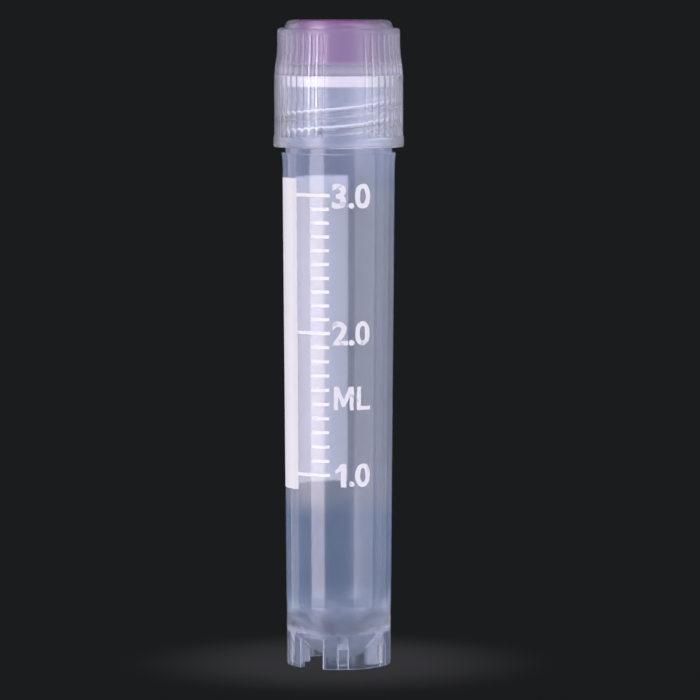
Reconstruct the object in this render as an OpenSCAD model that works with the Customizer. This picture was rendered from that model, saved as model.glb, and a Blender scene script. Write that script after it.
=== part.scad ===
// Self-standing freezing vial with an external screw cap.
//
// A moulded tube stands on its own foot skirt and is closed by a shell cap that screws down over
// the neck. A flat ring of silicone inside the cap seals on the mouth, and a coloured insert plugs
// the recess in the top of the cap. Millimetres, +Z up along the axis of the vial, origin at the
// centre of the ring that it stands on. Angles are counted from +X, counter-clockwise from above.

/* [Tube] */
// Height of the mouth above the surface that the vial stands on
tube_h = 61.05; // [50:0.05:75]
// Bore at the mouth
bore_top_d = 9.55; // [8:0.05:12]
// Bore where its round bottom begins
bore_foot_d = 9.05; // [7.5:0.05:9.5]
// Wall under the shoulder
wall_top = 1.12; // [0.9:0.01:1.6]
// Wall where the round end begins
wall_foot = 1.0; // [0.8:0.01:1.5]
// Thickness of the round end on the axis
floor_t = 2.3; // [1:0.05:3]
// How far the shoulder stands out from the wall below it
collar_lip = 0.11; // [0.05:0.01:0.3]
// Height over which the wall flares out to the shoulder
collar_h = 0.9; // [0.4:0.1:2]

/* [Foot] */
// Gap between the round end and the surface
end_gap = 0.8; // [0.4:0.1:3]
// How much smaller in radius the round end is than the wall above it
end_inset = 0.12; // [0.05:0.01:0.3]
// How far the skirt laps up the straight wall above the round end
skirt_lap = 0.33; // [0.1:0.01:2]
// How much smaller in radius the skirt is than the wall above it
skirt_inset = 0.04; // [0.02:0.01:0.2]
// Wall of the skirt
skirt_wall = 0.75; // [0.6:0.05:1.1]
// How much thinner the lower part of the skirt is, cut back on the inside
skirt_step = 0.1; // [0.05:0.01:0.2]
// Height of that thinner part
step_h = 3.1; // [1.5:0.1:4]
// Chamfer round the lower outside edge of the skirt
skirt_chamfer = 0.12; // [0.05:0.01:0.2]
// Width of the slot whose two ends are the notches
notch_w = 2.7; // [1.5:0.1:3.5]
// Height of the notches
notch_h = 3.2; // [1.5:0.1:4]
// Direction of the front notch
notch_turn = -122; // [-180:1:180]
// Thickness of the fins between the skirt and the round end
fin_t = 1.05; // [0.6:0.05:1.3]
// Distance between the inner edges of opposite fins
fin_gap_d = 6.8; // [4:0.1:7.5]
// How far the fins stop above the surface
fin_lift = 0.35; // [0.1:0.05:0.8]
// Angle from one fin to the next on the same side of the slot
fin_step = 53; // [40:1:56]

/* [Neck and thread] */
// Height of the neck above the shoulder
neck_h = 6.95; // [6:0.05:9]
// Wall of the neck at the root of its thread
neck_wall = 0.67; // [0.5:0.01:1]
// How far the plain stub below the thread stands out from the neck
stub_lip = 0.15; // [0.05:0.01:0.4]
// Height of the stub
stub_h = 0.9; // [0.7:0.05:1.2]
// Chamfer round the outside of the mouth
mouth_chamfer = 0.2; // [0.05:0.05:0.4]
// Height gained in one turn of the two-start thread
thread_lead = 3.7; // [3.6:0.05:4.6]
// How far each ridge stands out from its root
thread_t = 0.45; // [0.3:0.01:0.6]
// Height of a ridge of the tube at its root
tube_ridge_w = 0.95; // [0.7:0.05:1]
// Height of a ridge of the cap at its root
cap_ridge_w = 0.85; // [0.6:0.05:0.9]
// How much lower each ridge is at its crest than at its root
ridge_flare = 0.35; // [0.2:0.05:0.5]
// Height between the mouth and the upper end of the thread
thread_drop = 0.58; // [0.3:0.01:1]
// Height between the stub and the lower end of the thread
thread_lift = 0.08; // [0.05:0.01:0.4]
// Direction of the upper end of the first ridge
thread_turn = -4; // [-180:1:180]
// Radial clearance between each crest and the root that it faces
thread_gap = 0.15; // [0.08:0.01:0.3]
// Axial clearance between the flanks that bear on each other
flank_gap = 0.12; // [0.05:0.01:0.2]

/* [Cap] */
// Gap between the lower rim of the closed cap and the shoulder
cap_gap = 0.6; // [0.3:0.05:0.8]
// Wall of the cap at the root of its thread, up to the crests of the ribs
cap_wall = 0.72; // [0.6:0.01:1.2]
// How much smaller in radius the top of the cap is than its body
cap_draw = 0.32; // [0.1:0.01:0.5]
// Height over which the cap draws in
draw_h = 1.95; // [1:0.05:2.5]
// Height between the ceiling of the cap and the place where it begins to draw in
draw_rise = 0.45; // [0.1:0.05:0.8]
// Height of the rim band at the foot of the cap
band_h = 1.15; // [0.6:0.05:1.6]
// How far the rim band stands out from the body
band_lip = 0.08; // [0.03:0.01:0.2]
// Chamfer inside the lower rim of the cap
rim_chamfer = 0.25; // [0.1:0.05:0.4]
// Thickness of the web between the washer and the insert
cap_web = 1.1; // [0.8:0.05:1.6]
// Rounding round the upper edge of the body
cap_round = 0.35; // [0.1:0.05:0.5]
// How far below that rounding the ribs end
rib_drop = 0.1; // [0.05:0.05:0.5]
// Height of the raised boss round the insert
boss_h = 0.85; // [0.8:0.05:1.2]
// Distance in from the side of the cap to the side of the boss
boss_inset = 0.79; // [0.5:0.01:1.2]
// Rounding round the upper edge of the boss
boss_round = 0.75; // [0.3:0.05:0.8]
// Flat land between the rounding of the boss and its recess
boss_land = 0.18; // [0.1:0.01:0.5]
// Height of the thread's lower end above the lower rim of the cap
cap_thread_rise = 1.05; // [0.6:0.05:1.3]
// Plain height between the upper end of the cap's thread and the washer's seat
cap_thread_drop = 1.1; // [0.6:0.05:1.6]

/* [Grip ribs] */
// Number of groups of ribs, with a smooth panel between each two
rib_groups = 4; // [2:1:5]
// Ribs in each group
rib_count = 8; // [5:1:9]
// Depth of the grooves between the ribs
rib_depth = 0.22; // [0.1:0.01:0.3]
// Width of each rib
rib_w = 0.42; // [0.3:0.02:0.56]
// Angle that each smooth panel covers
panel_angle = 31; // [20:1:40]
// Direction of the middle of the front panel
panel_turn = -83.5; // [-180:0.5:180]

/* [Washer and insert] */
// Thickness of the sealing washer
washer_t = 1.15; // [0.8:0.05:1.6]
// Bore of the sealing washer
washer_bore_d = 8.0; // [6:0.1:9]
// How far the washer reaches out past the neck
washer_lap = 0.35; // [0.1:0.01:0.45]
// Radial clearance round the washer in its seat
washer_gap = 0.08; // [0.03:0.01:0.1]
// How far the washer's seat reaches below the mouth
seat_drop = 0.25; // [0.1:0.05:0.5]
// Chamfer round the outer edges of the washer
washer_chamfer = 0.1; // [0.05:0.01:0.2]
// Height of the insert
insert_h = 4.7; // [4:0.1:6]
// Wall of the insert, a cup that stands on its rim
insert_wall = 1.0; // [0.7:0.05:1.6]
// Thickness of the top of the insert
insert_top_t = 1.1; // [0.8:0.05:1.8]
// Radial clearance round the insert in its recess
insert_gap = 0.02; // [0.01:0.01:0.05]
// Width of the raised rim round the top of the insert
insert_rim_w = 0.5; // [0.3:0.05:1]
// Depth of the dish inside that rim
dish_depth = 0.3; // [0.1:0.05:0.5]
// Chamfer round the lower edge of the insert
insert_chamfer = 0.3; // [0.1:0.05:0.5]

/* [Hidden] */
$fn = 144;
// Overlap that lets a cut run cleanly past a face
past = 1;
// Straight pieces in each rounded edge of a turned profile
round_steps = 6;

// Tube
bore_top_r = bore_top_d / 2;
bore_foot_r = bore_foot_d / 2;
tube_top_r = bore_top_r + wall_top;
tube_foot_r = bore_foot_r + wall_foot;
end_r = tube_foot_r - end_inset;
end_z = end_gap + end_r;
bore_end_z = end_gap + floor_t + bore_foot_r;
shoulder_z = tube_h - neck_h;

// Foot
skirt_h = end_z + skirt_lap;
skirt_r = tube_foot_r - skirt_inset;
skirt_bore_r = skirt_r - skirt_wall;
// Each fin ends in the middle of the skirt's wall
fin_length = skirt_r - skirt_wall / 2 - fin_gap_d / 2;

// Neck and the helix that both threads follow
neck_r = bore_top_r + neck_wall;
stub_top_z = shoulder_z + stub_h;
thread_end_z = tube_h - thread_drop - tube_ridge_w / 2;
thread_start_z = stub_top_z + thread_lift + tube_ridge_w / 2;
tube_turns = (thread_end_z - thread_start_z) / thread_lead;
// Depth to which each ridge is rooted in its wall
ridge_root = 0.25;
// Angle over which a ridge fades out at each end, and the angle between its cross-sections
ridge_fade = 14;
ridge_step = 7.5;

// Cap
cap_z = shoulder_z + cap_gap;
cap_bore_r = neck_r + thread_t + thread_gap;
body_r = cap_bore_r + cap_wall;
head_r = body_r - cap_draw;
band_top_z = cap_z + band_h;
seat_z = tube_h - seat_drop;
ceiling_z = tube_h + washer_t;
recess_z = ceiling_z + cap_web;
cap_top_z = recess_z + insert_h;
cap_shoulder_z = cap_top_z - boss_h;
rib_top_z = cap_shoulder_z - cap_round - rib_drop;
boss_r = head_r - boss_inset;
recess_r = boss_r - boss_round - boss_land;

// Grip ribs share out what the smooth panels leave
group_angle = 360 / rib_groups;
rib_pitch = (group_angle - panel_angle) / rib_count;

// The cap's ridges hang under the tube's ridges, so that turning the cap draws it down
flank_offset = (tube_ridge_w + cap_ridge_w) / 2 - ridge_flare / 2 + flank_gap;
cap_thread_z = cap_z + cap_thread_rise + cap_ridge_w / 2;
cap_turns = (seat_z - cap_thread_drop - cap_ridge_w / 2 - cap_thread_z) / thread_lead;
cap_thread_turn = thread_turn + 360 * (cap_thread_z + flank_offset - thread_end_z) / thread_lead;

// Washer and insert
washer_r = neck_r + washer_lap;
insert_r = recess_r - insert_gap;

// Points of an arc in the r-z plane, from one angle to another
function arc(centre, radius, from, to) =
    [for (i = [0:round_steps])
        let (a = from + (to - from) * i / round_steps)
        centre + radius * [cos(a), sin(a)]];

// Point at a radius and a sideways distance from the ray at an angle
function off_ray(angle, radius, side) =
    [radius * cos(angle) - side * sin(angle), radius * sin(angle) + side * cos(angle)];

// One cross-section of a ridge. out is 1 on the tube and -1 in the cap.
function ridge_section(root_r, out, width, rise, angle, z) =
    let (
        crest_w = width - ridge_flare,
        outline = [
            [root_r - out * ridge_root, -out * width / 2],
            [root_r + out * rise, -out * crest_w / 2],
            [root_r + out * rise, out * crest_w / 2],
            [root_r - out * ridge_root, out * width / 2]
        ]
    )
    [for (p = outline) [p[0] * cos(angle), p[0] * sin(angle), z + p[1]]];

// Height of a ridge's crest at an angle along it: below the wall's surface at the very ends
function ridge_rise(angle, length) =
    let (share = min(1, angle / ridge_fade, (length - angle) / ridge_fade))
    -ridge_root / 2 + share * (thread_t + ridge_root / 2);

// A helical ridge from z upwards, starting on +X
module ridge(root_r, out, width, turns, z) {
    length = 360 * turns;
    steps = ceil(length / ridge_step);
    sections = [for (i = [0:steps])
        let (a = length * i / steps)
        each ridge_section(root_r, out, width, ridge_rise(a, length), a, z + thread_lead * a / 360)];
    sides = [for (i = [0:steps - 1], j = [0:3])
        let (a = 4 * i + j, b = 4 * i + (j + 1) % 4)
        each [[b, b + 4, a + 4], [b, a + 4, a]]];
    first = [[3, 2, 1], [3, 1, 0]];
    last = [for (f = first) [for (k = [2:-1:0]) f[k] + 4 * steps]];
    polyhedron(points = sections, faces = concat(first, sides, last));
}

module two_starts() {
    for (half = [0, 180])
        rotate([0, 0, half])
            children();
}

// Tube: wall, shoulder and neck as one turned solid, from the top of the skirt to the mouth
module tube_blank() {
    rotate_extrude()
        polygon([
            [0, skirt_h],
            [tube_foot_r, skirt_h],
            [tube_top_r, shoulder_z - collar_h],
            [tube_top_r + collar_lip, shoulder_z],
            [neck_r + stub_lip, shoulder_z],
            [neck_r + stub_lip, stub_top_z - stub_lip],
            [neck_r, stub_top_z],
            [neck_r, tube_h - mouth_chamfer],
            [neck_r - mouth_chamfer, tube_h],
            [0, tube_h]
        ]);
}

module round_end() {
    translate([0, 0, end_z]) {
        sphere(r = end_r);
        cylinder(r = end_r, h = skirt_lap);
    }
}

// Skirt with a slot across it that leaves two notches
module skirt() {
    difference() {
        rotate_extrude()
            polygon([
                [skirt_bore_r, skirt_h],
                [skirt_bore_r, step_h],
                [skirt_bore_r + skirt_step, step_h],
                [skirt_bore_r + skirt_step, 0],
                [skirt_r - skirt_chamfer, 0],
                [skirt_r, skirt_chamfer],
                [skirt_r, skirt_h]
            ]);
        rotate([0, 0, notch_turn])
            translate([-skirt_r - past, -notch_w / 2, -past])
                cube([2 * (skirt_r + past), notch_w, notch_h + past]);
    }
}

// Fins that tie the skirt to the round end, three on each side of the slot
module fins() {
    for (side = [90, 270], k = [-1:1])
        rotate([0, 0, notch_turn + side + k * fin_step])
            translate([fin_gap_d / 2, -fin_t / 2, fin_lift])
                cube([fin_length, fin_t, skirt_h - fin_lift]);
}

module bore() {
    rotate_extrude()
        polygon([
            [0, bore_end_z],
            [bore_foot_r, bore_end_z],
            [bore_top_r, tube_h],
            [bore_top_r, tube_h + past],
            [0, tube_h + past]
        ]);
    translate([0, 0, bore_end_z])
        sphere(r = bore_foot_r);
}

module tube() {
    color([0.72, 0.77, 0.88, 0.55])
        difference() {
            union() {
                tube_blank();
                round_end();
                skirt();
                fins();
                rotate([0, 0, thread_turn - 360 * tube_turns])
                    two_starts()
                        ridge(neck_r, 1, tube_ridge_w, tube_turns, thread_start_z);
            }
            bore();
        }
}

// Body of the cap from its rim to the tops of the ribs, cut back by a depth from their crests
module cap_body(depth) {
    rotate_extrude()
        polygon([
            [0, cap_z],
            [body_r - depth, cap_z],
            [body_r - depth, ceiling_z + draw_rise],
            [head_r - depth, ceiling_z + draw_rise + draw_h],
            [head_r - depth, rib_top_z],
            [0, rib_top_z]
        ]);
}

// Plan of the ribs and the smooth panels, which starts inside the grooves and ends outside the crests
module rib_plan() {
    inner_r = head_r - 3 * rib_depth;
    outer_r = body_r + 2 * rib_depth;
    polygon([for (g = [0:rib_groups - 1])
        let (
            panel = panel_turn + g * group_angle,
            middle = panel + group_angle / 2
        )
        each concat(
            [off_ray(panel - panel_angle / 2, inner_r, 0)],
            [for (i = [0:round_steps])
                off_ray(panel + panel_angle * (i / round_steps - 1 / 2), outer_r, 0)],
            [off_ray(panel + panel_angle / 2, inner_r, 0)],
            [for (i = [0:rib_count - 1])
                let (a = middle + rib_pitch * (i - (rib_count - 1) / 2))
                each [
                    off_ray(a, inner_r, -rib_w / 2),
                    off_ray(a, outer_r, -rib_w / 2),
                    off_ray(a, outer_r, rib_w / 2),
                    off_ray(a, inner_r, rib_w / 2)
                ]]
        )]);
}

module cap_ribs() {
    intersection() {
        cap_body(0);
        translate([0, 0, cap_z])
            linear_extrude(cap_shoulder_z - cap_z)
                rib_plan();
    }
}

// Rounded head with the boss, and the rim band at the foot
module cap_head_and_band() {
    rotate_extrude()
        polygon(concat(
            [[0, rib_top_z], [head_r, rib_top_z]],
            arc([head_r - cap_round, cap_shoulder_z - cap_round], cap_round, 0, 90),
            [[boss_r, cap_shoulder_z]],
            arc([boss_r - boss_round, cap_top_z - boss_round], boss_round, 0, 90),
            [[0, cap_top_z]]
        ));
    translate([0, 0, cap_z])
        cylinder(r = body_r + band_lip, h = band_h);
}

// Room inside the cap for the neck, the washer and, from above, the insert
module cap_hollows() {
    rotate_extrude()
        polygon([
            [0, cap_z - past],
            [cap_bore_r + rim_chamfer + past, cap_z - past],
            [cap_bore_r, cap_z + rim_chamfer],
            [cap_bore_r, seat_z],
            [washer_r + washer_gap, seat_z],
            [washer_r + washer_gap, ceiling_z],
            [0, ceiling_z]
        ]);
    translate([0, 0, recess_z])
        cylinder(r = recess_r, h = insert_h + past);
}

module cap() {
    color([0.80, 0.79, 0.88, 0.6]) {
        difference() {
            union() {
                cap_body(rib_depth);
                cap_ribs();
                cap_head_and_band();
            }
            cap_hollows();
        }
        rotate([0, 0, cap_thread_turn])
            two_starts()
                ridge(cap_bore_r, -1, cap_ridge_w, cap_turns, cap_thread_z);
    }
}

module cap_insert() {
    dish_r = insert_r - insert_rim_w;
    under_top_z = cap_top_z - dish_depth - insert_top_t;
    color([0.58, 0.30, 0.62])
        rotate_extrude()
            polygon([
                [0, cap_top_z - dish_depth],
                [dish_r - dish_depth, cap_top_z - dish_depth],
                [dish_r, cap_top_z],
                [insert_r, cap_top_z],
                [insert_r, recess_z + insert_chamfer],
                [insert_r - insert_chamfer, recess_z],
                [insert_r - insert_wall, recess_z],
                [insert_r - insert_wall, under_top_z],
                [0, under_top_z]
            ]);
}

module sealing_washer() {
    color([0.95, 0.95, 0.96])
        rotate_extrude()
            polygon([
                [washer_bore_d / 2, tube_h],
                [washer_r - washer_chamfer, tube_h],
                [washer_r, tube_h + washer_chamfer],
                [washer_r, ceiling_z - washer_chamfer],
                [washer_r - washer_chamfer, ceiling_z],
                [washer_bore_d / 2, ceiling_z]
            ]);
}

tube();
cap();
cap_insert();
sealing_washer();
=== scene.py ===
# %% [markdown]
# # A self-standing freezing vial with a screw cap
#
# This lesson dresses a finished CAD model for a studio picture: a hazy plastic tube with a printed
# volume scale, a ribbed screw cap, a purple insert in the top of the cap and a white silicone seal
# under it. Clear plastic shows every wall that it has, inside and out, so each piece is modelled
# again here as a smooth closed solid with its true wall. The CAD model stays the fixed frame: it
# says where everything is and how it moves.

# %% Load the frame
import math

import bmesh
import bpy
from mathutils import Matrix, Vector
from mathutils.noise import noise_vector, seed_set


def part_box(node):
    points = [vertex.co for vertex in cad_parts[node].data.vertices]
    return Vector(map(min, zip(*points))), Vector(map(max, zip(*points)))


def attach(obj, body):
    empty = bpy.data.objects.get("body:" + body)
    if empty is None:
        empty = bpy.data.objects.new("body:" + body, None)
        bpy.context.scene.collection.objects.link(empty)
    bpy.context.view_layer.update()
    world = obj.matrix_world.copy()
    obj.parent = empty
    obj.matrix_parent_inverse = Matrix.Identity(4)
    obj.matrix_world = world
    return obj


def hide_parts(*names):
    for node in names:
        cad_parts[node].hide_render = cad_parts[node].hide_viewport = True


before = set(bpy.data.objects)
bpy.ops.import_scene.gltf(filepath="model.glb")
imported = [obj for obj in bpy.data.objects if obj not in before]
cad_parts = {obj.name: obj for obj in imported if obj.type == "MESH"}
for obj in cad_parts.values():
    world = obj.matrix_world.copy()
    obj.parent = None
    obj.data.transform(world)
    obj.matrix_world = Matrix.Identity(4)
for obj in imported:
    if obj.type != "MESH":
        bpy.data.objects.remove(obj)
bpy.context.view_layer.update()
MM = 0.001  # sizes are written in millimetres, and Blender works in metres
for node in sorted(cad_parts):
    low, high = (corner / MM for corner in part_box(node))
    print(f"{node:15s} radius {high.x:6.3f} mm, from z {low.z:6.2f} to {high.z:6.2f} mm")

# %% [markdown]
# ## Sizes
#
# The heights and outer radii come from the boxes of the CAD nodes, so the smooth pieces land just
# where the CAD solids are. They could be typed in again, but then they could drift apart. A name
# ends in _z for a height above the bench, in _r for a radius and in _t for a thickness, all in
# millimetres.

# %% Sizes read from the frame
mouth_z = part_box("tube")[1].z / MM
shoulder_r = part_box("tube")[1].x / MM
rim_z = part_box("cap")[0].z / MM
top_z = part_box("cap")[1].z / MM
band_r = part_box("cap")[1].x / MM
ceiling_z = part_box("sealing_washer")[1].z / MM
washer_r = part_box("sealing_washer")[1].x / MM
recess_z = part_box("cap_insert")[0].z / MM
insert_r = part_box("cap_insert")[1].x / MM
print(f"the vial is {top_z:.1f} mm tall and {2 * band_r:.1f} mm wide")

# %% [markdown]
# A box doesn't tell what is inside it, so the walls and the bore of the tube are named values. Both
# taper a little, as a moulding does that has to slide off its core. The round end is a ball inside
# and out, thicker than the wall.

# %% Sizes of the tube
bore_top_r, bore_foot_r = 4.775, 4.525
wall_top_r, wall_foot_r = 5.895, 5.525
end_r, end_gap, floor_t = 5.405, 0.8, 2.3
end_z = end_gap + end_r
bore_end_z = end_gap + floor_t + bore_foot_r
skirt_top_z = end_z + 0.33
shoulder_z = mouth_z - 6.95
wall_top_z = shoulder_z - 0.9
neck_r = bore_top_r + 0.67
stub_r, stub_z = neck_r + 0.15, shoulder_z + 0.9
print(f"wall {wall_foot_r - bore_foot_r:.2f} to {wall_top_r - bore_top_r:.2f} mm thick, foot to top")

# %% [markdown]
# ## Turned shapes
#
# Nearly everything on a vial is round, so it starts as half of its cross-section, drawn as a wire
# of edges in the X-Z plane. Bevelling chosen corners of the wire rounds them, and one full spin
# makes the solid. That is shorter than bevelling the rims of the finished solid, where every rim
# would have to be found among its edges.

# %% Helpers for turned shapes
ROUND = 192  # steps in a full turn


def round_end(centre_z, radius, steps=40):
    """Outline points of a ball's lower half, from the axis out to the wall."""
    angles = [math.radians(-90 + 90 * i / steps) for i in range(steps + 1)]
    return [(radius * math.cos(a), centre_z + radius * math.sin(a)) for a in angles]


def rounded(bm, parts, radius, affect="VERTICES", segments=3):
    """Round corners of a wire, or edges of a solid, by a radius in mm."""
    bmesh.ops.bevel(bm, geom=parts, offset=radius * MM, offset_type="OFFSET", segments=segments,
                    profile=0.5, affect=affect, material=-1)


def turned(outline, steps=ROUND, rounds=()):
    """A solid spun from an outline of (radius, height) points; rounds lists (point, radius)."""
    bm = bmesh.new()
    corners = [bm.verts.new((r * MM, 0, z * MM)) for r, z in outline]
    pairs = list(zip(corners, corners[1:]))
    if outline[0][0] > 0:
        pairs.append((corners[-1], corners[0]))
    for pair in pairs:
        bm.edges.new(pair)
    places = dict(zip(outline, corners))
    for point, radius in rounds:
        rounded(bm, [places[point]], radius, segments=4)
    bmesh.ops.spin(bm, geom=bm.edges[:], cent=(0, 0, 0), axis=(0, 0, 1), angle=math.tau,
                   steps=steps, use_merge=True)
    bmesh.ops.remove_doubles(bm, verts=bm.verts[:], dist=1e-4 * MM)
    bmesh.ops.recalc_face_normals(bm, faces=bm.faces[:])
    return bm


def as_object(name, bm):
    """An object at the origin that holds what is in a bmesh."""
    mesh = bpy.data.meshes.new(name)
    bm.to_mesh(mesh)
    bm.free()
    thing = bpy.data.objects.new(name, mesh)
    bpy.context.scene.collection.objects.link(thing)
    return thing

# %% [markdown]
# ## Joining solids
#
# A moulded piece is one solid: light must not meet a wall where a fin grows out of the tube. The
# Boolean modifier joins or cuts closed meshes. Its result is copied into the mesh and the tools are
# thrown away, so the piece ends as a plain mesh.

# %% Helpers for joining and finishing
def combined(thing, tools, operation):
    """thing after each tool is joined to it or cut from it."""
    for tool in tools:
        step = thing.modifiers.new("Join", "BOOLEAN")
        step.operation = operation
        step.solver = "MANIFOLD"
        step.object = tool
        evaluated = thing.evaluated_get(bpy.context.evaluated_depsgraph_get())
        mesh = bpy.data.meshes.new_from_object(evaluated)
        thing.modifiers.clear()
        thing.data = mesh
        bpy.data.objects.remove(tool)
    return thing


def finished(thing, finish, body, node=None, sharp=35):
    """Shade a piece smooth up to an angle, give it its finish and let it ride on its body."""
    for face in thing.data.polygons:
        face.use_smooth = True
    thing.data.set_sharp_from_angle(angle=math.radians(sharp))
    thing.data.materials.clear()
    thing.data.materials.append(finish)
    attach(thing, body)
    if node:
        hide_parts(node)
    print(f"{thing.name}: {len(thing.data.polygons)} faces")
    return thing

# %% [markdown]
# ## Writing materials as sums
#
# A material is a graph of nodes. Drawn by hand it is slow to read, so a small class wraps an output
# socket and lets Python's own operators add the Math nodes: `0.2 + 0.1 * grain` makes two of them.
# Its last methods turn a number into a mask, which is 1 where something holds, 0 where it doesn't,
# and eased between. Every other node comes from one method, which takes the node's kind, its
# settings and what feeds it.

# %% Number
class Number:
    """An output socket; operators and methods on it add nodes to its graph."""

    def __init__(self, graph, socket):
        self.graph, self.socket = graph, socket

    def maths(self, operation, first, second):
        return self.graph.node("Math", {"operation": operation}, {0: first, 1: second})

    def __add__(self, other):
        return self.maths("ADD", self, other)

    def __sub__(self, other):
        return self.maths("SUBTRACT", self, other)

    def __rsub__(self, other):
        return self.maths("SUBTRACT", other, self)

    def __mul__(self, other):
        return self.maths("MULTIPLY", self, other)

    def __truediv__(self, other):
        return self.maths("DIVIDE", self, other)

    def __rtruediv__(self, other):
        return self.maths("DIVIDE", other, self)

    def __abs__(self):
        return self.maths("ABSOLUTE", self, 0)

    __radd__, __rmul__ = __add__, __mul__

    def least(self, other):
        """The smaller of two numbers."""
        return self.maths("MINIMUM", self, other)

    def wrapped(self, low, high):
        """The number brought between two levels by whole steps."""
        return self.graph.node("Math", {"operation": "WRAP"}, {0: self, 1: high, 2: low})

    def over(self, level):
        """1 where the number is above a level, 0 where it is below."""
        return self.maths("GREATER_THAN", self, level)

    def ramp(self, low, high):
        """0 below one level and 1 above another, eased between."""
        settings = {"interpolation_type": "SMOOTHSTEP"}
        return self.graph.node("MapRange", settings, {0: self, 1: low, 2: high})

    def within(self, low, high, soft):
        """1 between two levels and 0 beyond them, eased over a width."""
        return self.ramp(low - soft, low + soft) - self.ramp(high - soft, high + soft)

# %% Graph
class Graph:
    """The nodes of a material or a world, all of which come from node()."""

    def __init__(self, owner):
        self.owner = owner
        owner.use_nodes = True
        self.tree = owner.node_tree
        self.tree.nodes.clear()

    def node(self, kind, settings=None, feeds=None, output=0):
        """A new node's output. Settings come first, then the value or link of each socket."""
        made = self.tree.nodes.new("ShaderNode" + kind)
        for name, value in (settings or {}).items():
            setattr(made, name, value)
        for name, value in (feeds or {}).items():
            socket = made.inputs[name]
            if isinstance(value, Number):
                self.tree.links.new(value.socket, socket)
            else:
                socket.default_value = value
        return Number(self, made.outputs[output]) if made.outputs else None

    def done(self, shader):
        """Plug the last shader in and hand over the material or the world."""
        is_world = isinstance(self.owner, bpy.types.World)
        self.node("OutputWorld" if is_world else "OutputMaterial", {}, {"Surface": shader})
        print(f"{self.owner.name}: {len(self.tree.nodes)} nodes")
        return self.owner

# %% [markdown]
# A finish has to know where on the vial it is: how high, how far from the axis and at what angle.
# All of that comes from the object's own coordinates, so the pattern stays on the piece when the
# cap turns. A picture wrapped round the piece could say the same, but it would have an end to its
# detail and a seam.

# %% Finish
class Finish(Graph):
    """A material, with the measures and patterns that finishes are made from."""

    def __init__(self, name):
        super().__init__(bpy.data.materials.new(name))

    def place(self):
        """The point on the surface, in the object's own coordinates."""
        return self.node("TexCoord", output="Object")

    def height(self):
        """The height above the surface that the vial stands on, in mm."""
        return self.node("SeparateXYZ", {}, {0: self.place()}, output="Z") / MM

    def reach(self):
        """The distance from the axis, in mm."""
        flat = self.node("VectorMath", {"operation": "MULTIPLY"}, {0: self.place(), 1: (1, 1, 0)})
        return self.node("VectorMath", {"operation": "LENGTH"}, {0: flat}, output="Value") / MM

    def distance(self, z):
        """The distance from a point on the axis, in mm."""
        feeds = {0: self.place(), 1: (0, 0, z * MM)}
        return self.node("VectorMath", {"operation": "DISTANCE"}, feeds, output="Value") / MM

    def turn(self):
        """The angle round the axis, in degrees from the +X direction."""
        x = self.node("SeparateXYZ", {}, {0: self.place()}, output="X")
        y = self.node("SeparateXYZ", {}, {0: self.place()}, output="Y")
        return x.maths("ARCTAN2", y, x) * math.degrees(1)

    def edge_on(self):
        """0 where a surface faces the viewer, 1 where it is seen edge-on."""
        return self.node("LayerWeight", {}, {"Blend": 0.5}, output="Facing")

    def noise(self, scale, detail=2.0, stretch=(1, 1, 1)):
        """Soft noise from 0 to 1; scale counts its lumps per mm."""
        size = [s * scale / MM for s in stretch]
        sized = self.node("Mapping", {}, {"Vector": self.place(), "Scale": size})
        return self.node("TexNoise", {}, {"Vector": sized, "Scale": 1.0, "Detail": detail})

    def blend(self, share, first, second):
        """A colour between two, by a share from 0 to 1. Sockets 6 and 7 take the two colours."""
        return self.node("Mix", {"data_type": "RGBA"}, {0: share, 6: first, 7: second}, output=2)

    def bump(self, relief, depth, strength):
        """A normal bent by a relief, whose 1 stands for a depth in mm."""
        feeds = {"Height": relief, "Distance": depth * MM, "Strength": strength}
        return self.node("Bump", {}, feeds)

    def glow(self, colour):
        """A shader that shows the light from behind in one plain colour."""
        return self.node("BsdfTranslucent", {}, {"Color": colour})

# %% [markdown]
# ## Natural polypropylene
#
# The tube and the cap are polypropylene without pigment. It is clear enough to look into and milky
# enough to glow where a lamp strikes it, with a soft mould gloss. Real volume scattering would give
# that glow, but it is slow and noisy in walls a millimetre thick. So each wall is a mix of two
# shaders: a clear one that bends the view, and a bluish haze that catches the light. Faint streaks
# and lines run up the piece, the way the plastic flowed in the mould. The light that shines through
# from behind changes colour with the haze. It mixes glowing shaders of one plain colour each, by the
# same masks, because a colour that varies inside such a shader is slow to export.
#
# Clear plastic that stops lamps would leave its own inside black, so most of a lamp's light passes
# straight through.

# %% Helper for clear plastic
CLEAR_TINT = (0.97, 0.98, 1, 1)
PLASTIC_IOR, POLISH_IOR, POLISH_ROUGH = 1.49, 1.9, 0.05
SHINE_THROUGH = 0.4  # part of the haze that glows with light from behind


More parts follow.
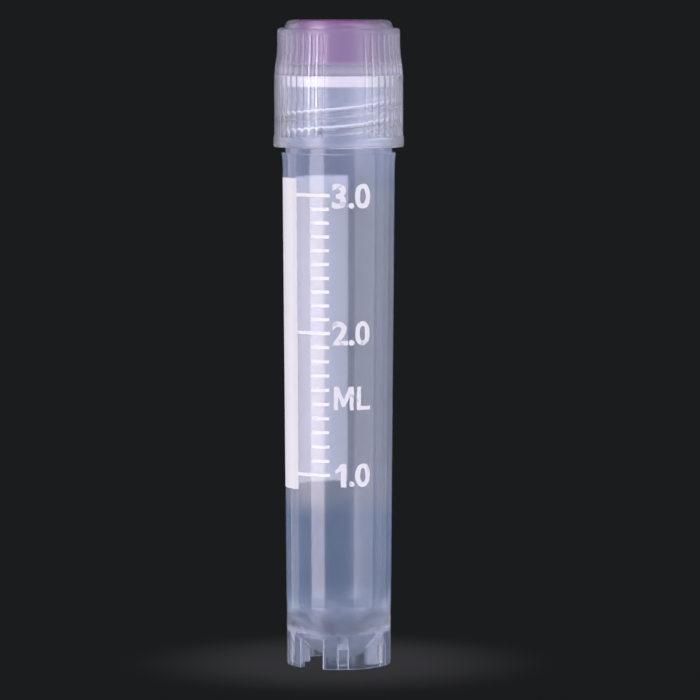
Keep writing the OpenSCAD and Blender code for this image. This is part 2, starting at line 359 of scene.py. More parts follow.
def natural_plastic(name, haze, share, limb, gloss, through, haze_and_painted_light, clearer, matt, polish=None):
    """Unpigmented plastic. haze is the colour that it scatters and share how much of it a wall
    shows, with limb more where it is seen edge-on. gloss is its roughness, and through the part of
    a lamp's light that it lets pass. The last four are functions that say where it differs."""
    finish = Finish(name)
    streaks = finish.noise(0.9, detail=3, stretch=(1, 1, 0.08))
    lines = finish.noise(2.6, stretch=(1, 1, 0.012))
    clouds = finish.noise(0.16)
    edge_on = finish.edge_on()
    milky = share * (0.6 + 0.3 * clouds + 0.5 * lines) * (1 + limb * edge_on * edge_on)
    milky = milky * clearer(finish)
    bright = [min(1, c * 1.15) for c in haze[:3]] + [1]
    colour = finish.blend(clouds, haze, bright)
    depth = finish.node("MixShader", {}, {0: clouds, 1: finish.glow(haze), 2: finish.glow(bright)})
    # Each mask adds haze; some of the masks are painted light or painted highlights.
    for mask, extra, tint in haze_and_painted_light(finish):
        milky = milky + extra * mask
        colour = finish.blend(mask, colour, tint)
        depth = finish.node("MixShader", {}, {0: mask, 1: depth, 2: finish.glow(tint)})
    surface = {"Roughness": gloss + 0.05 * streaks + matt(finish),
               "Normal": finish.bump(streaks, 0.003, 0.25), "IOR": PLASTIC_IOR,
               "Coat Weight": polish(finish) if polish else 0,
               "Coat Roughness": POLISH_ROUGH, "Coat IOR": POLISH_IOR}
    clear_look = {"Base Color": CLEAR_TINT, "Transmission Weight": 1.0}
    clear = finish.node("BsdfPrincipled", {}, {**clear_look, **surface})
    skin = finish.node("BsdfPrincipled", {}, {"Base Color": colour, **surface})
    milk = finish.node("MixShader", {}, {0: SHINE_THROUGH, 1: skin, 2: depth})
    wall = finish.node("MixShader", {}, {0: milky, 1: clear, 2: milk})
    lamp_ray = finish.node("LightPath", output="Is Shadow Ray")
    gone_through = finish.node("BsdfTransparent")
    lit = finish.node("MixShader", {}, {0: lamp_ray * through, 1: wall, 2: gone_through})
    return finish.done(lit)

# %% [markdown]
# ## Milky places and painted highlights of the tube
#
# Some places look milkier than a plain wall. Light that runs along inside a web or a fin meets more
# plastic than light that crosses a wall. The flanks of a thread get a painted highlight: white haze
# in a thin line along each edge of the ridge. Each place is found with a mask. On the thread the
# mask asks how far up or down a point lies from the middle of the ridge, which climbs by the lead in
# each turn.

# %% The thread and its painted highlights
lead = 3.7  # how far the cap climbs in a full turn
thread_t, root_depth = 0.45, 0.25
tube_turns, tube_ridge_w, tube_ridge_end = 1.2, 0.95, -4
tube_ridge_top = mouth_z - 0.58 - tube_ridge_w / 2


def thread_highlights(finish):
    """Painted highlights along the lower and the upper edge of each ridge on the neck."""
    height, reach = finish.height(), finish.reach()
    middle_z = tube_ridge_top - lead * tube_ridge_end / 360
    across = (height - finish.turn() * (lead / 360) - middle_z).wrapped(-lead / 4, lead / 4)
    on_neck = height.ramp(stub_z + 0.4, stub_z + 0.8)
    on_ridge = reach.ramp(neck_r + 0.06, neck_r + 0.14) * on_neck
    return across.within(-0.6, -0.12, 0.06) * on_ridge, across.within(0.25, 0.52, 0.05) * on_ridge


print(f"two ridges, {tube_ridge_w} mm wide, that climb {lead} mm a turn")

# %% [markdown]
# The skirt has fins behind it and a notch on each side. From outside, a fin shows as a hazy bar
# between two painted highlights, thin lines of white haze, and the cut edges of a notch carry the
# same painted highlight.

# %% The skirt, its fin bars and its painted highlights
notch_turn, notch_edge = -122, 15  # degrees: where a notch is, and from its middle to its edge
fin_step, fin_t, fin_seen_r = 53, 1.05, 5.3
skin_r = 5.42  # just inside the outer face of the skirt


def on_skirt(finish, low, high):
    """The outside of the skirt, fading out between two heights."""
    return finish.reach().ramp(skin_r - 0.02, skin_r + 0.02) * (1 - finish.height().ramp(low, high))


def skirt_bars_and_highlights(finish):
    """The hazy bar of each fin, and the painted highlights along its two sides and on the notch
    edges.
    """
    turn = finish.turn()
    from_middle = abs((turn - (notch_turn + 90)).wrapped(-90, 90))
    from_fin = from_middle.least(abs(from_middle - fin_step))
    from_notch = abs((turn - notch_turn).wrapped(-90, 90))
    side = math.degrees(fin_t / 2 / fin_seen_r)
    bars = (1 - from_fin.ramp(side - 0.7, side + 0.7)) * on_skirt(finish, 4.6, 5.8)
    # The lines and the notch edges are painted highlights: white haze where an edge would catch a
    # lamp.
    lines = from_fin.within(side - 0.5, side + 0.5, 0.4) * on_skirt(finish, 2.2, 3.0)
    edges = from_notch.within(notch_edge - 0.6, notch_edge + 0.6, 0.4)
    return bars, lines, edges * on_skirt(finish, 3.0, 3.2)


print(f"a fin takes up {math.degrees(fin_t / fin_seen_r):.1f} degrees of the skirt")

# %% [markdown]
# Three more places belong to the tube. The light that white ink would throw into the wall beside it
# is painted: more haze at the height of the print, and a paler painted glow on the side that faces
# the lamp. The shoulder under the cap is thicker than the wall, and so is the round end. The mould
# of the foot was never polished, so everything down there is a little more matt.

# %% Tube plastic
def haze_and_painted_light_in_tube(finish):
    """For each milky place and each painted light, its mask, the extra share of haze there and its
    colour.
    """
    height = finish.height()
    painted_ink_glow = height.within(17, 51, 1.5)
    painted_lamp_side_glow = painted_ink_glow * finish.turn().within(-140, -106, 4)
    shoulder = height.within(51.5, stub_z, 0.8)
    thread_low_highlight, thread_high_highlight = thread_highlights(finish)
    in_end = 1 - finish.distance(end_z).over(end_r + 0.05)
    thick_end = in_end * (1 - height.ramp(4.5, 8.5))
    bars, lines, edges = skirt_bars_and_highlights(finish)
    return [
        # Painted light: more haze beside the print, and a paler glow on the side that faces the
        # lamp.
        (painted_ink_glow, 0.05, (0.56, 0.64, 0.82, 1)),
        (painted_lamp_side_glow, 0.07, (0.85, 0.82, 0.90, 1)),
        (shoulder, 0.028, (0.58, 0.69, 0.98, 1)),
        # Painted highlights: white haze along the lower and the upper edge of each ridge.
        (thread_low_highlight, 0.95, (0.97, 0.97, 1, 1)),
        (thread_high_highlight, 0.12, (0.85, 0.87, 1, 1)),
        (thick_end, 0.3, (0.36, 0.43, 0.58, 1)),
        (bars, 0.08, (0.5, 0.6, 0.85, 1)),
        # Painted highlights: white haze along the fin lines and the notch edges.
        (lines, 0.6, (0.85, 0.88, 1, 1)),
        (edges, 0.6, (0.85, 0.88, 1, 1))]


def clearer_in_tube(finish):
    """The skirt is thinner than the wall, so it scatters less."""
    return 1 - 0.45 * (1 - finish.height().ramp(skirt_top_z - 0.6, skirt_top_z))


def matt_in_tube(finish):
    """What the skirt, the round end and the floor of the bore add to the roughness."""
    height = finish.height()
    skirt = on_skirt(finish, skirt_top_z - 0.3, skirt_top_z - 0.2)
    end_skin = finish.distance(end_z).within(end_r - 0.05, end_r + 0.05, 0.01)
    end = end_skin * (1 - height.ramp(skirt_top_z - 0.3, skirt_top_z))
    in_bore = 1 - finish.reach().ramp(bore_foot_r + 0.2, bore_foot_r + 0.3)
    return 0.1 * skirt + 0.12 * end + 0.08 * in_bore * (1 - height.ramp(6.5, 10))


tube_plastic = natural_plastic(
    "tube_plastic", haze=(0.43, 0.59, 0.92, 1), share=0.09, limb=1.3, gloss=0.09, through=0.96,
    haze_and_painted_light=haze_and_painted_light_in_tube, clearer=clearer_in_tube, matt=matt_in_tube)

# %% [markdown]
# ## Milky places and painted highlights of the cap
#
# The cap is milkier than the tube. The web that closes it is a solid disc seen from its side, so it
# is the milkiest place of all. The head above it is tinted by the purple insert behind it. Fingers
# and racks rub the crests of the grip ribs to a shine, which a clear coat gives them: each crest
# then draws a thin bright line under a lamp, and the grooves between them stay matt. A pale haze
# along each crest adds a painted highlight to that line.

# %% Cap plastic
rib_groups, rib_count = 4, 8
panel_angle, panel_turn = 31, -83.5  # degrees that a smooth panel takes up, and where one is
rib_pitch = (360 / rib_groups - panel_angle) / rib_count


def rib_crests(finish):
    """The crest of each grip rib, eased to 0 beside it."""
    past = (finish.turn() - panel_turn + panel_angle / 2).wrapped(0, 360 / rib_groups) - panel_angle
    from_crest = abs(past.wrapped(0, rib_pitch) - rib_pitch / 2)
    crest = (1 - from_crest.ramp(0.3, 1.6)) * past.over(0) * finish.reach().ramp(6.3, 6.35)
    return crest * finish.height().within(56.1, 66.5, 0.2)


def polish_in_cap(finish):
    """The coat of the crests, strongest along their middle."""
    return rib_crests(finish) * (0.3 + 0.6 * finish.height().within(59.2, 64.6, 0.5))


def haze_and_painted_highlight_in_cap(finish):
    """For each milky place and the painted highlight on the crests, its mask, the extra haze and
    colour.
    """
    height, edge_on = finish.height(), finish.edge_on()
    over_web = height.ramp(recess_z - 0.6, recess_z + 0.6)
    web = height.ramp(ceiling_z - 0.3, ceiling_z + 0.4) - over_web
    head = height.ramp(recess_z - 0.2, recess_z + 0.8) - height.ramp(top_z - 1.0, top_z - 0.8)
    return [
        (head, 0.06, (0.54, 0.52, 0.74, 1)),
        (head * edge_on, 0.15, (0.62, 0.62, 0.82, 1)),
        (web * (1 - 0.5 * edge_on), 0.42, (0.72, 0.68, 0.92, 1)),
        # Painted highlight: pale haze along every rib crest.
        (rib_crests(finish), 0.08, (0.80, 0.77, 0.92, 1))]


def clearer_in_cap(finish):
    """The skirt and the boss are clearer than the head, the rim of the boss most of all."""
    height = finish.height()
    skirt = 0.45 * (1 - height.ramp(57, 61))
    boss = 0.3 * height.ramp(top_z - 1.0, top_z - 0.8)
    boss_rim = 0.5 * height.ramp(top_z - 0.6, top_z - 0.2)
    return 1 - skirt - boss - boss_rim


def matt_in_cap(finish):
    """The crests are smoother than the rest."""
    return -0.09 * rib_crests(finish)


cap_plastic = natural_plastic(
    "cap_plastic", haze=(0.62, 0.64, 0.82, 1), share=0.155, limb=-0.8, gloss=0.23, through=0.94,
    haze_and_painted_light=haze_and_painted_highlight_in_cap, clearer=clearer_in_cap, matt=matt_in_cap, polish=polish_in_cap)

# %% [markdown]
# ## The tube
#
# The tube is a test tube with a round end, moulded in one with a skirt that lets it stand. Its
# outside is turned as a full solid first. The skirt, its fins and the thread are joined to it, and
# the bore is cut last, so that nothing shows inside the wall. Joining a hollow tube to its fins
# would leave their ends standing in the bore.

# %% Outside of the tube and its bore
outside = turned(
    round_end(end_z, end_r)
    + [(end_r, skirt_top_z), (wall_foot_r, skirt_top_z), (wall_top_r, wall_top_z),
       (shoulder_r, shoulder_z), (stub_r, shoulder_z), (stub_r, stub_z), (neck_r, stub_z + 0.15),
       (neck_r, mouth_z), (0, mouth_z)],
    rounds=[((wall_top_r, wall_top_z), 0.5), ((shoulder_r, shoulder_z), 0.12),
            ((neck_r, mouth_z), 0.2)])
bore = turned(
    round_end(bore_end_z, bore_foot_r)
    + [(bore_top_r, mouth_z), (bore_top_r, mouth_z + 1), (0, mouth_z + 1)])
vial_tube = as_object("vial_tube", outside)
bore_tool = as_object("bore_tool", bore)
print(f"bore {2 * bore_top_r:.2f} mm at the mouth, round end {floor_t:.1f} mm thick")

# %% [markdown]
# The skirt is a short ring under the round end. A slot across it leaves two notches, which key over
# a bar in a rack so that the vial can't turn while its cap is screwed on. Six fins tie the skirt to
# the round end. They are blocks turned about the axis, because two corners are enough to place one.

# %% Skirt, notches and fins
skirt_r, skirt_wall, skirt_step, step_z = 5.485, 0.75, 0.1, 3.1
skirt_bore_r = skirt_r - skirt_wall
skirt_foot_r = skirt_bore_r + skirt_step
notch_w, notch_h = 2.7, 3.2
fin_in_r, fin_out_r, fin_z = 3.4, skirt_r - skirt_wall / 2, 0.35


def rotated(bm, turn, axis="Z"):
    """Turn all that is in a bmesh about an axis through the origin, by degrees."""
    matrix = Matrix.Rotation(math.radians(turn), 3, axis)
    bmesh.ops.rotate(bm, cent=(0, 0, 0), matrix=matrix, verts=bm.verts[:])


def block(low, high, turn, edge):
    """A box between two corners in mm, with rounded edges, turned about the vial's axis."""
    bm = bmesh.new()
    bmesh.ops.create_cube(bm, size=MM)
    bmesh.ops.scale(bm, vec=[b - a for a, b in zip(low, high)], verts=bm.verts[:])
    rounded(bm, bm.edges[:], edge, "EDGES")
    middle = [(a + b) / 2 * MM for a, b in zip(low, high)]
    bmesh.ops.translate(bm, vec=middle, verts=bm.verts[:])
    rotated(bm, turn)
    return bm


skirt = as_object("skirt", turned(
    [(skirt_r, 0), (skirt_r, skirt_top_z + 0.1), (skirt_bore_r, skirt_top_z + 0.1),
     (skirt_bore_r, step_z), (skirt_foot_r, step_z), (skirt_foot_r, 0)],
    rounds=[((skirt_r, 0), 0.14), ((skirt_foot_r, 0), 0.08)]))
slot = as_object("slot", block(
    (-2 * skirt_r, -notch_w / 2, -1), (2 * skirt_r, notch_w / 2, notch_h), notch_turn, 0.15))
skirt = combined(skirt, [slot], "DIFFERENCE")
fins = []
for side in (90, 270):
    for k in (-1, 0, 1):
        fin = block((fin_in_r, -fin_t / 2, fin_z), (fin_out_r, fin_t / 2, skirt_top_z),
                    notch_turn + side + k * fin_step, 0.08)
        fins.append(as_object("fin", fin))
print(f"{len(fins)} fins, two notches {notch_w} mm wide and {notch_h} mm high")

# %% [markdown]
# A screw thread is one cross-section swept along a helix. Spin does that when each step also moves
# along the axis, so no curve is needed. This thread has two starts: two ridges half a turn apart,
# each of which fades into the wall at its ends. There the vertices are drawn back towards the wall.

# %% Threads
SWEEP = 4.0  # degrees in one step of a sweep
END_SHARE = 0.15  # part of its height that a ridge keeps at its very end, to stay a solid


def eased(share):
    """A share held between 0 and 1, with its corners eased."""
    share = min(1, max(0, share))
    return share * share * (3 - 2 * share)


def where(vert):
    """A vertex's distance from the axis in mm, its angle in degrees and its height in mm."""
    x, y, z = vert.co
    return math.hypot(x, y) / MM, math.degrees(math.atan2(y, x)), z / MM


def draw(vert, factor):
    """Move a vertex straight towards the axis or away from it."""
    vert.co.x *= factor
    vert.co.y *= factor


def ridge(root_r, out, width, crest_w, start_z, start_turn, turns, fades):
    """A helical ridge on a wall of radius root_r, standing outwards (out = 1) or inwards (-1)."""
    bm = bmesh.new()
    deep, crest = root_r - out * root_depth, root_r + out * thread_t
    section = [(deep, -width / 2), (crest, -crest_w / 2), (crest, crest_w / 2), (deep, width / 2)]
    corners = [bm.verts.new((r * MM, 0, (start_z + z) * MM)) for r, z in section]
    bm.faces.new(corners)
    rounded(bm, corners[1:3], 0.1)
    rotated(bm, start_turn)
    steps = round(360 * turns / SWEEP)
    bmesh.ops.spin(bm, geom=bm.faces[:], cent=(0, 0, 0), axis=(0, 0, 1), steps=steps,
                   dvec=(0, 0, lead * turns / steps * MM), angle=math.tau * turns)
    for vert in bm.verts:
        radius, angle, height = where(vert)
        turn = angle - start_turn
        climb = (height - start_z) / lead * 360
        along = turn + 360 * round((climb - turn) / 360)
        share = eased(min(along / fades[0], (360 * turns - along) / fades[1]))
        share = END_SHARE + (1 - END_SHARE) * share
        draw(vert, (deep + (radius - deep) * share) / radius)
    bmesh.ops.recalc_face_normals(bm, faces=bm.faces[:])
    return bm


tube_ridge_z = tube_ridge_top - lead * tube_turns
tube_ridge_turn = tube_ridge_end - 360 * tube_turns
ridges = [
    as_object("ridge", ridge(
        neck_r, 1, tube_ridge_w, 0.6, tube_ridge_z, tube_ridge_turn + half, tube_turns, (14, 14)))
    for half in (0, 180)]
combined(vial_tube, [skirt, *fins, *ridges], "UNION")
combined(vial_tube, [bore_tool], "DIFFERENCE")
finished(vial_tube, tube_plastic, "vial", "tube")

# %% [markdown]
# ## The print
#
# The scale and the writing panel are white ink, a few hundredths of a millimetre thick. Painted
# into the tube's material they would have no edge and no thickness. So they are laid out flat,
# where x is the distance round the tube from the front and z is the height, given their thickness
# there, and then wrapped round the wall, which gets wider towards the top. Wrapping also mirrors
# them, so the faces are turned the right way while flat, and reversed afterwards.

# %% Wrapping flat shapes round the tube
PRINT_R = 5.74  # radius at which distances round the tube are counted
INK_GAP, INK_T = 0.006, 0.012
seed_set(7)  # so that the edges of the ink stray alike in each run


def wall_r(z):
    """Outer radius of the tube at a height."""
    return wall_foot_r + (wall_top_r - wall_foot_r) * (z - skirt_top_z) / (wall_top_z - skirt_top_z)


def sliced(bm, axis, step):
    """Cut a flat shape into strips along an axis, so that it can bend."""
    low = min(v.co[axis] for v in bm.verts)
    high = max(v.co[axis] for v in bm.verts)
    normal = [int(i == axis) for i in range(3)]
    for i in range(1, int((high - low) / step)):
        everything = bm.verts[:] + bm.edges[:] + bm.faces[:]
        bmesh.ops.bisect_plane(bm, geom=everything, dist=1e-6, plane_no=normal,
                               plane_co=[(low + i * step) * n for n in normal])


def wrap(vert):
    """Take a vertex from the flat layout to its place on the tube."""
    distance, lift, z = vert.co
    turn = distance / PRINT_R
    radius = wall_r(z) + INK_GAP + lift
    vert.co = Vector((radius * math.sin(turn), -radius * math.cos(turn), z)) * MM


def inked(name, bm, step=0.25, wobble=0.0):
    """A thin layer of ink from a flat shape in mm, whose edge strays by the wobble."""
    sliced(bm, 0, step)
    if wobble:
        sliced(bm, 2, step)
    for vert in bm.verts:
        stray = noise_vector((vert.co.x * 1.6, 0, vert.co.z * 1.6))
        vert.co += wobble * stray * Vector((1, 0, 1))
    made = bmesh.ops.extrude_face_region(bm, geom=bm.faces[:], use_keep_orig=True)
    top = [v for v in made["geom"] if isinstance(v, bmesh.types.BMVert)]
    bmesh.ops.translate(bm, vec=(0, INK_T, 0), verts=top)
    bmesh.ops.recalc_face_normals(bm, faces=bm.faces[:])
    for vert in bm.verts:
        wrap(vert)
    bmesh.ops.reverse_faces(bm, faces=bm.faces[:])
    return as_object(name, bm)


print(f"the tube is {2 * wall_r(20):.2f} mm wide at the foot of the scale")

# %% [markdown]
# Screen-printed white ink lets a little light through, so that the panel glows faintly from inside
# the tube. Handling wears it: the fine marks of the scale lose a little and the words more. Their
# wear is a ragged noise in the ink's alpha, so that the plastic shows through the worn spots.

# %% Ink
def ink(name, colour, cover, glow, worn):
    """Ink that hides a share of what is behind it, less of it in worn patches."""
    finish = Finish(name)
    spots = finish.noise(3.5, detail=3)
    patches = finish.noise(1.1, detail=5).ramp(0.32, 0.42)
    alpha = (cover + (1 - cover) * spots) * (1 - worn + worn * patches)
    front = finish.node("BsdfPrincipled", {}, {
        "Base Color": colour, "Roughness": 0.45, "IOR": 1.45, "Alpha": alpha})
    return finish.done(finish.node("MixShader", {}, {0: glow, 1: front, 2: finish.glow(colour)}))


white_ink = ink("white_ink", (0.94, 0.93, 0.96, 1), cover=0.92, glow=0.25, worn=0.0)
fine_ink = ink("fine_ink", (0.95, 0.94, 0.98, 1), cover=0.97, glow=0.1, worn=0.3)
word_ink = ink("word_ink", (0.82, 0.815, 0.88, 1), cover=0.95, glow=0.1, worn=0.5)

# %% [markdown]
# The writing panel is a plain rectangle that reaches round the back of the tube. People write on it
# with a pen, so it is left bare.

# %% Writing panel
def degrees_round(turn):
    """Distance round the tube for an angle from the front."""
    return math.radians(turn) * PRINT_R


def flat_box(left, right, low, high):
    """A rectangle of the layout, from degrees left to right and from mm low to high."""
    left, right = degrees_round(left), degrees_round(right)
    bm = bmesh.new()
    bmesh.ops.create_grid(bm, x_segments=1, y_segments=1, size=0.5)
    bmesh.ops.scale(bm, vec=(right - left, high - low, 1), verts=bm.verts[:])
    rotated(bm, 90, "X")
    middle = ((left + right) / 2, 0, (low + high) / 2)
    bmesh.ops.translate(bm, vec=middle, verts=bm.verts[:])
    return bm


panel = inked("writing_panel", flat_box(-190.8, -48.6, 18.85, 51.5), step=0.5, wobble=0.06)
finished(panel, white_ink, "vial")

# %% [markdown]
# The scale has a long mark for each millilitre and a short one for each tenth between. All of them
# are one piece of ink, made from many small rectangles in a loop.

# %% Volume scale
mark_t = 0.35
long_mark, short_mark = (-48.4, -9), (-29.8, -9.9)  # degrees from the front
millilitre_z = [20.54, 35.44, 49.83]


def merged(parts):
    """One bmesh that holds what several held."""
    whole = bmesh.new()
    for part in parts:
        mesh = bpy.data.meshes.new("part")
        part.to_mesh(mesh)
        part.free()
        whole.from_mesh(mesh)
        bpy.data.meshes.remove(mesh)
    return whole


tenths = [low + (high - low) * tenth / 10
          for low, high in zip(millilitre_z, millilitre_z[1:]) for tenth in range(1, 10)]
marks = [flat_box(*short_mark, z - mark_t / 2, z + mark_t / 2) for z in tenths]
marks += [flat_box(*long_mark, z - mark_t / 2, z + mark_t / 2) for z in millilitre_z]
print(f"{len(marks)} marks, {tenths[1] - tenths[0]:.2f} mm apart")
finished(inked("volume_scale", merged(marks), step=0.4, wobble=0.05), fine_ink, "vial")

# %% [markdown]
# Numerals come from a text object, which knows the outlines of a typeface. It is turned into a mesh
# first, because only a mesh can be sliced and wrapped. The built-in typeface draws a 1 like a
# capital I, so that numeral and the wide letters of the unit are drawn as outlines in a square.

# %% Helpers for numerals and letters
def fitted(bm, left, right, low, high):
    """A flat X-Y shape stretched to fill a box of the layout, from degrees left to right."""
    xs = [v.co.x for v in bm.verts]
    ys = [v.co.y for v in bm.verts]
    bmesh.ops.translate(bm, vec=(-min(xs), -min(ys), 0), verts=bm.verts[:])
    wide, tall = degrees_round(right) - degrees_round(left), high - low
    stretch = (wide / (max(xs) - min(xs)), tall / (max(ys) - min(ys)), 1)
    bmesh.ops.scale(bm, vec=stretch, verts=bm.verts[:])
    rotated(bm, 90, "X")
    bmesh.ops.translate(bm, vec=(degrees_round(left), 0, low), verts=bm.verts[:])
    return bm


def numeral(text, left, right, low, high):
    """A number in the built-in typeface, made a little bolder."""
    curve = bpy.data.curves.new("numeral", "FONT")
    curve.body = text
    curve.offset = 0.03
    holder = bpy.data.objects.new("numeral", curve)
    bpy.context.scene.collection.objects.link(holder)
    evaluated = holder.evaluated_get(bpy.context.evaluated_depsgraph_get())
    mesh = bpy.data.meshes.new_from_object(evaluated)
    bpy.data.objects.remove(holder)
    bm = bmesh.new()
    bm.from_mesh(mesh)
    bpy.data.meshes.remove(mesh)
    bmesh.ops.remove_doubles(bm, verts=bm.verts[:], dist=1e-5)
    return fitted(bm, left, right, low, high)


def letter(outline, left, right, low, high):
    """A block letter from its outline."""
    bm = bmesh.new()
    bm.faces.new([bm.verts.new((x, y, 0)) for x, y in outline])
    bmesh.ops.triangulate(bm, faces=bm.faces[:])
    return fitted(bm, left, right, low, high)

# %% Numerals and unit
block_m = [(0, 0), (0, 1), (0.24, 1), (0.5, 0.45), (0.76, 1), (1, 1), (1, 0), (0.8, 0),
           (0.8, 0.6), (0.58, 0.15), (0.42, 0.15), (0.2, 0.6), (0.2, 0)]
block_l = [(0, 0), (0, 1), (0.28, 1), (0.28, 0.17), (1, 0.17), (1, 0)]
block_1 = [(0.5, 0), (0.5, 0.68), (0, 0.55), (0, 0.72), (0.52, 1), (1, 1), (1, 0)]
words = {
    "numeral_3": numeral("3.0", -6.8, 34, 48.45, 51.05),
    "numeral_2": numeral("2.0", -6.8, 34, 34.15, 36.7),
    "numeral_1": letter(block_1, -3.5, 8.2, 19.3, 21.75),
    "numeral_1_rest": numeral(".0", 11, 35.3, 19.3, 21.75),
    "unit_m": letter(block_m, -5, 16, 27.4, 29.85),
    "unit_l": letter(block_l, 19.5, 35.3, 27.4, 29.85)}
for name, word in words.items():
    finished(inked(name, word, wobble=0.07), word_ink, "vial")

# %% [markdown]
# ## The cap
#
# The cap is a shell with a web across it. Below the web is the socket that screws over the neck,
# and above it a boss holds the insert. Both hollows are part of the one outline that is spun, so
# nothing has to be cut out afterwards.

# %% Shell of the cap
CAP_ROUND = 960  # steps in a full turn, enough to press fine grooves in
cap_bore_r, body_r, head_r = 6.045, 6.765, 6.445
band_top_z = rim_z + 1.15
draw_z, head_z = ceiling_z + 0.45, ceiling_z + 0.45 + 1.95
ledge_z = top_z - 0.85
boss_r, recess_r = head_r - 0.79, insert_r + 0.02
seat_z, seat_r = mouth_z - 0.25, washer_r + 0.08
rib_top_z = ledge_z - 0.45

cap_outline = [
    (0, ceiling_z), (seat_r, ceiling_z), (seat_r, seat_z), (cap_bore_r, seat_z),
    (cap_bore_r, rim_z + 0.25), (cap_bore_r + 0.25, rim_z), (band_r, rim_z), (band_r, band_top_z),
    (body_r, band_top_z), (body_r, band_top_z + 0.12), (body_r, draw_z), (head_r, head_z),
    (head_r, rib_top_z - 0.3), (head_r, rib_top_z - 0.15), (head_r, rib_top_z), (head_r, ledge_z),
    (boss_r, ledge_z), (boss_r, top_z), (recess_r, top_z), (recess_r, recess_z), (0, recess_z)]
cap_rounds = [
    ((band_r, rim_z), 0.12), ((band_r, band_top_z), 0.06), ((body_r, draw_z), 0.8),
    ((head_r, head_z), 0.8), ((head_r, ledge_z), 0.35), ((boss_r, top_z), 0.75)]
cap_skin = turned(cap_outline, CAP_ROUND, cap_rounds)
print(f"{len(cap_skin.faces)} faces before the ribs")

# %% [markdown]
# The grip is four groups of eight ribs with a smooth panel between. Cutting each groove with a tool
# would leave sharp seams. The spin has so many steps that a few columns of faces fall on each
# groove, and moving their vertices inwards presses it in and keeps the piece a single skin.

# %% Grip ribs
rib_depth, panel_edge = 0.12, 0.25


def groove(turn):
    """How deep the groove between ribs is at an angle, from 0 on a rib or panel to 1."""
    past = (turn - panel_turn + panel_angle / 2) % (360 / rib_groups) - panel_angle
    if past < 0:
        return 0
    off_rib = abs(past % rib_pitch - rib_pitch / 2) / (rib_pitch / 2)
    from_panel = math.radians(min(past, rib_count * rib_pitch - past)) * body_r
    return eased((off_rib - 0.2) / 0.5) * eased(from_panel / panel_edge)


for vert in cap_skin.verts:
    radius, turn, height = where(vert)
    if radius > head_r - 0.05 and band_top_z + 0.06 < height < rib_top_z - 0.01:
        fade = eased((rib_top_z - height) / 0.3)
        draw(vert, 1 - rib_depth * groove(turn) * fade / radius)
cap_shell = as_object("cap_shell", cap_skin)
print(f"{rib_groups * rib_count} ribs, {rib_pitch:.2f} degrees apart")

# %% [markdown]
# The ridges inside the cap are made as those of the neck are, standing inwards. They have to lie
# between them when the cap is closed, so their angle is worked out from the two heights: each
# millimetre of height is 360 / lead degrees of turn.

# %% Thread of the cap
cap_ridge_w, cap_turns = 0.85, 0.838
flank_w, play = 0.35, 0.12
cap_ridge_z = rim_z + 1.05 + cap_ridge_w / 2
offset_z = (tube_ridge_w + cap_ridge_w) / 2 - flank_w / 2 + play
cap_ridge_turn = (
    tube_ridge_end + 360 * (cap_ridge_z + offset_z - tube_ridge_z) / lead - 360 * tube_turns)
cap_ridges = [
    as_object("ridge", ridge(
        cap_bore_r, -1, cap_ridge_w, 0.5, cap_ridge_z, cap_ridge_turn + half, cap_turns, (6, 14)))
    for half in (0, 180)]
print(f"ridges of the cap start at {cap_ridge_turn % 360:.1f} degrees")
combined(cap_shell, cap_ridges, "UNION")
finished(cap_shell, cap_plastic, "closure", "cap", sharp=50)

# %% [markdown]
# ## Insert and seal
#
# The insert is a small cup pressed into the cap upside down, moulded in a colour that sorts the
# samples. The seal is a flat ring of silicone that the mouth of the tube presses on. Both are
# opaque, so one shader is enough: a colour that clouds a little and a fine grain in the skin.

# %% Coloured plastic and silicone
def solid_plastic(name, colour, roughness):
    """Pigmented plastic or rubber with a faintly uneven skin."""
    finish = Finish(name)
    grain = finish.noise(2.5, detail=3)
    clouds = finish.noise(0.4)
    darker = [c * 0.86 for c in colour[:3]] + [1]
    return finish.done(finish.node("BsdfPrincipled", {}, {
        "Base Color": finish.blend(clouds, darker, colour), "Roughness": roughness + 0.08 * grain,
        "IOR": PLASTIC_IOR, "Normal": finish.bump(grain, 0.01, 0.3)}))


insert_plastic = solid_plastic("insert_plastic", (0.175, 0.042, 0.195, 1), 0.42)
seal_silicone = solid_plastic("seal_silicone", (0.74, 0.735, 0.77, 1), 0.5)

# %% Insert and washer
insert_wall, insert_top_t, dish, rim_w = 1.0, 1.1, 0.3, 0.5
dish_z, under_z = top_z - dish, top_z - dish - insert_top_t
rim_in_r, cup_r = insert_r - rim_w, insert_r - insert_wall
washer_bore_r = 4.0
cap_insert = as_object("insert", turned(
    [(0, dish_z), (rim_in_r - dish, dish_z), (rim_in_r, top_z), (insert_r, top_z),
     (insert_r, recess_z), (cup_r, recess_z), (cup_r, under_z), (0, under_z)],
    rounds=[((insert_r, top_z), 0.08), ((rim_in_r, top_z), 0.08), ((insert_r, recess_z), 0.3)]))
finished(cap_insert, insert_plastic, "closure", "cap_insert")

washer = as_object("seal_washer", turned(
    [(washer_bore_r, mouth_z), (washer_r, mouth_z), (washer_r, ceiling_z),
     (washer_bore_r, ceiling_z)],
    rounds=[((washer_r, mouth_z), 0.1), ((washer_r, ceiling_z), 0.1),
            ((washer_bore_r, mouth_z), 0.06), ((washer_bore_r, ceiling_z), 0.06)]))
finished(washer, seal_silicone, "seal", "sealing_washer")

# %% [markdown]
# ## Studio
#
# The vial stands on a pale round table in front of a charcoal backdrop, so that its clear walls and
# white print stand out. A dark table would do that too, but then the vial would get no light from
# below. So the table stays pale for the rays that carry light, and looks dim to the rays that look
# at it, bare, in a mirror or through the plastic. Round the foot a painted pool of light stays: a
# faint share of the table's true, lit colour that fades out with the distance from the axis, so
# that the vial's shadow can be seen.

# %% Table
TABLE, BACKDROP = (0.75, 0.76, 0.78, 1), (0.0109, 0.0116, 0.0130, 1)
table_r, painted_pool_share = 45, 0.04


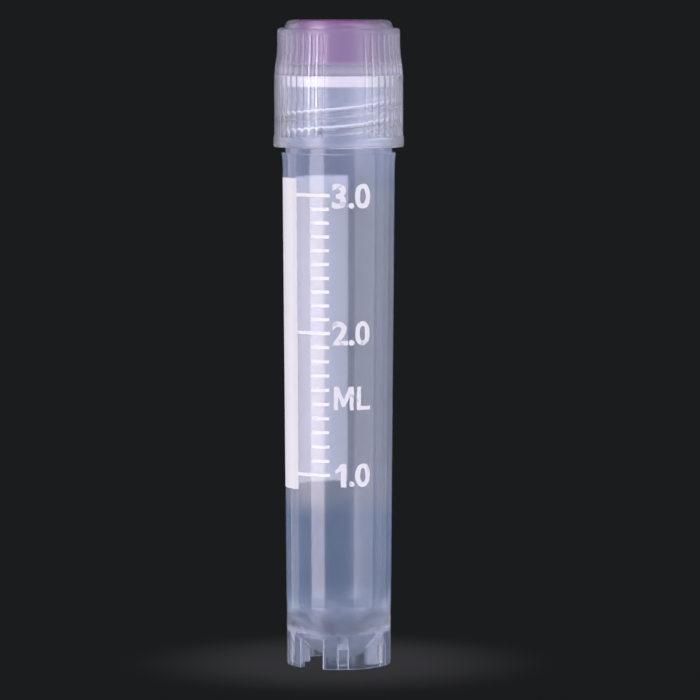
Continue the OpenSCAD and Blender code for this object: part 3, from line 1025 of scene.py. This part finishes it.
def looked_at(graph):
    """1 for rays that look, straight or by way of a mirror or clear plastic, and 0 for others."""
    kinds = ("Camera", "Glossy", "Transmission")
    camera, glossy, transmission = (
        graph.node("LightPath", output=f"Is {kind} Ray") for kind in kinds)
    return (camera + glossy + transmission).least(1)


finish = Finish("table")
matt = finish.node("BsdfPrincipled", {}, {
    "Base Color": TABLE, "Roughness": 0.7, "Specular IOR Level": 0.2})
backdrop = finish.node("Emission", {}, {"Color": BACKDROP})
# Painted pool of light round the foot, fading out between 7 and 24 mm from the axis.
painted_pool = painted_pool_share * (1 - finish.reach().ramp(7, 24))
shown = looked_at(finish) * (1 - painted_pool)
table_top = bmesh.new()
bmesh.ops.create_circle(table_top, cap_ends=True, segments=128, radius=table_r * MM)
table = as_object("table", table_top)
table.data.materials.append(
    finish.done(finish.node("MixShader", {}, {0: shown, 1: matt, 2: backdrop})))

# %% [markdown]
# The world plays the same two parts: the charcoal backdrop for every ray that looks at it, and a
# soft pale light for the rays that matt surfaces send out. A ray that was scattered once and then
# mirrored still counts as carrying light, which its Diffuse Depth tells.

# %% World
FILL, FILL_STRENGTH = (0.92, 0.95, 1.0, 1), 0.30
studio = Graph(bpy.data.worlds.new("studio"))
fill = studio.node("Background", {}, {"Color": FILL, "Strength": FILL_STRENGTH})
seen = studio.node("Background", {}, {"Color": BACKDROP})
unscattered = 1 - studio.node("LightPath", output="Diffuse Depth").over(0.5)
bpy.context.scene.world = studio.done(studio.node(
    "MixShader", {}, {0: looked_at(studio) * unscattered, 1: fill, 2: seen}))

# %% [markdown]
# Five soft lamps light the vial. A tall one to the left of the camera draws the bright band down
# the tube: its mirror image in the round wall. A wide one on the right draws a fainter band and
# keeps that side from going black. Two dim ones behind the vial light its edges, and one above it,
# tilted down, lights the boss and the insert. All are a touch pink, because the haze scatters blue.
#
# Through clear walls a lamp would show as a white pane. So neither the camera nor a ray that passes
# through the plastic sees it, and only its light and its reflections are left.

# %% Lamps
def softbox(name, turn, distance, low, high, width, radiance, colour, lean=0):
    """A rectangular lamp that faces the axis, at an angle from the front; sizes in mm."""
    data = bpy.data.lights.new(name, "AREA")
    data.shape = "RECTANGLE"
    data.size, data.size_y = width * MM, (high - low) * MM
    data.energy = radiance * math.pi * data.size * data.size_y
    data.color = colour
    lamp = bpy.data.objects.new(name, data)
    bpy.context.scene.collection.objects.link(lamp)
    a = math.radians(turn)
    centre = Vector((math.sin(a) * distance, -math.cos(a) * distance, (low + high) / 2))
    lamp.location = centre * MM
    lamp.rotation_euler = (math.pi / 2 - math.radians(lean), 0, a)
    lamp.visible_camera = False
    lamp.visible_transmission = False
    print(f"{name}: {width} by {high - low} mm, {data.energy:.2f} W")


PINK, ROSE, PALE = (1, 0.92, 1), (1, 0.94, 1), (1, 0.96, 1)
softbox("key", -46.2, 350, low=-80, high=210, width=194, radiance=4.9, colour=PINK)
softbox("right", 56.5, 350, low=-90, high=350, width=300, radiance=2.1, colour=ROSE)
softbox("left_rim", -113, 350, low=-90, high=260, width=190, radiance=1.3, colour=ROSE)
softbox("right_rim", 106, 350, low=-90, high=260, width=250, radiance=0.7, colour=PALE)
softbox("top", 35, 260, low=300, high=520, width=300, radiance=2.6, colour=PALE, lean=50)

# %% [markdown]
# ## Camera
#
# The camera looks slightly down on the vial from half a metre away, through a long lens. From close
# by, the parts nearest to the lens would swell, and a straight tube would no longer look straight.

# %% Camera
CAMERA_PLACE, LOOK_DOWN, LENS = (1.185, -490, 74), 4.755, 239.7
camera = bpy.data.objects.new("camera", bpy.data.cameras.new("camera"))
bpy.context.scene.collection.objects.link(camera)
bpy.context.scene.camera = camera
camera.data.lens = LENS
camera.data.clip_start, camera.data.clip_end = 0.01, 10
camera.location = Vector(CAMERA_PLACE) * MM
camera.rotation_euler = (math.radians(90 - LOOK_DOWN), 0, 0)
bpy.context.scene.view_settings.view_transform = "Standard"
print(f"the view is {math.degrees(camera.data.angle):.1f} degrees wide")

# %% [markdown]
# ## Update
#
# The view layer is brought up to date.

# %% Update the view layer
bpy.context.view_layer.update()
